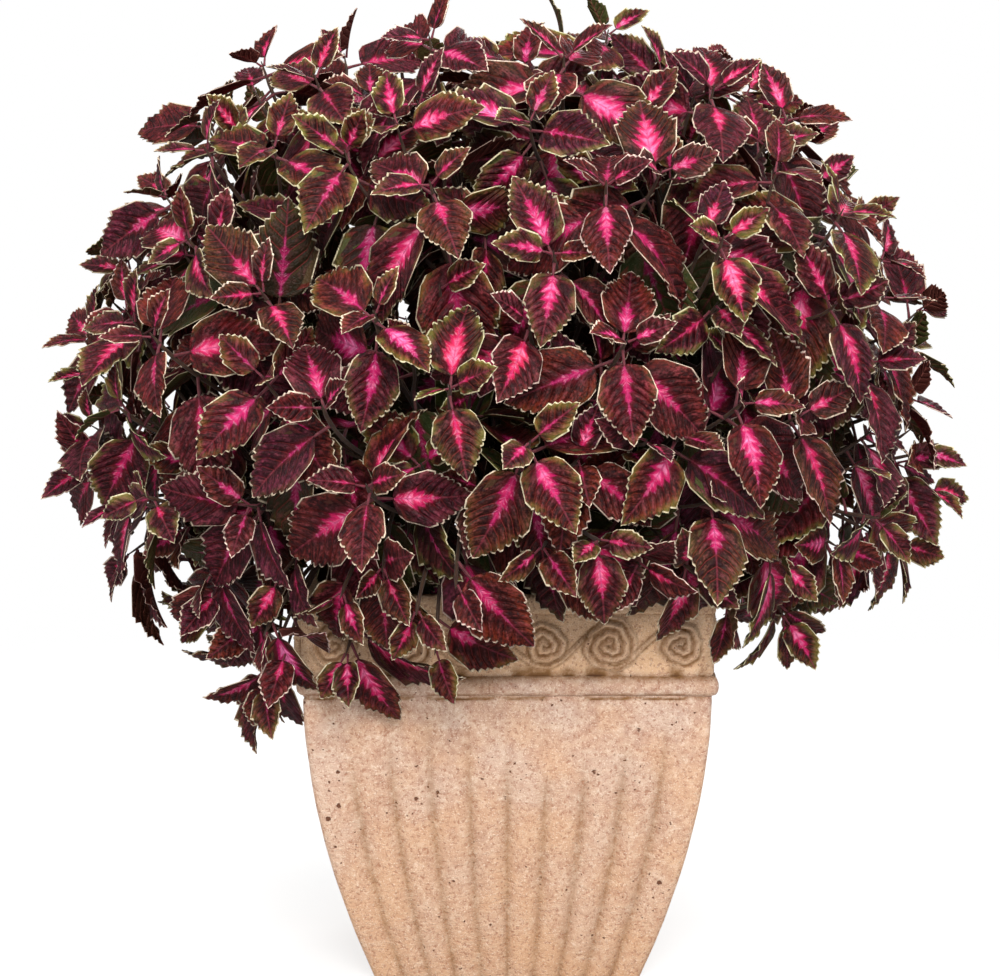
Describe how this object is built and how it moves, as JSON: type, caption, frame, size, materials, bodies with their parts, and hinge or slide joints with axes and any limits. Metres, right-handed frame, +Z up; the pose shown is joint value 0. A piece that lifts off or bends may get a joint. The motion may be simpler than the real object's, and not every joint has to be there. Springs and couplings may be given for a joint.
{
  "type": "potted coleus",
  "caption": "Bushy coleus with scalloped maroon and pink leaves, growing in soil in a square fluted terracotta planter.",
  "frame": {"origin": "on the floor, under the middle of the planter", "axes": "+Z up, -Y toward the front, the plant's best side, +X to the right seen from the front"},
  "size_m": [0.7515, 0.7426, 0.8167],
  "materials": {
    "terracotta": "matte",
    "soil": "matte",
    "foliage": "satin"
  },
  "bodies": {
    "root": {"planter": "terracotta", "soil": "soil", "leafy_stem_01": "foliage", "leafy_stem_02": "foliage", "leafy_stem_03": "foliage", "leafy_stem_04": "foliage", "leafy_stem_05": "foliage", "leafy_stem_06": "foliage", "leafy_stem_07": "foliage", "leafy_stem_08": "foliage", "leafy_stem_09": "foliage", "leafy_stem_10": "foliage", "leafy_stem_11": "foliage", "leafy_stem_12": "foliage", "leafy_stem_13": "foliage", "leafy_stem_14": "foliage", "leafy_stem_15": "foliage", "leafy_stem_16": "foliage", "leafy_stem_17": "foliage", "leafy_stem_18": "foliage", "leafy_stem_19": "foliage", "leafy_stem_20": "foliage", "leafy_stem_21": "foliage", "leafy_stem_22": "foliage", "leafy_stem_23": "foliage", "leafy_stem_24": "foliage", "leafy_stem_25": "foliage", "leafy_stem_26": "foliage", "leafy_stem_27": "foliage", "leafy_stem_28": "foliage", "leafy_stem_29": "foliage", "leafy_stem_30": "foliage", "leafy_stem_31": "foliage", "leafy_stem_32": "foliage", "leafy_stem_33": "foliage", "leafy_stem_34": "foliage", "leafy_stem_35": "foliage", "leafy_stem_36": "foliage", "leafy_stem_37": "foliage", "leafy_stem_38": "foliage", "leafy_stem_39": "foliage", "leafy_stem_40": "foliage", "leafy_stem_41": "foliage", "leafy_stem_42": "foliage", "leafy_stem_43": "foliage", "leafy_stem_44": "foliage", "leafy_stem_45": "foliage", "leafy_stem_46": "foliage", "leafy_stem_47": "foliage", "leafy_stem_48": "foliage", "leafy_stem_49": "foliage", "leafy_stem_50": "foliage", "leafy_stem_51": "foliage", "leafy_stem_52": "foliage", "leafy_stem_53": "foliage", "leafy_stem_54": "foliage", "leafy_stem_55": "foliage", "leafy_stem_56": "foliage", "leafy_stem_57": "foliage", "leafy_stem_58": "foliage"}
  },
  "joints": []
}
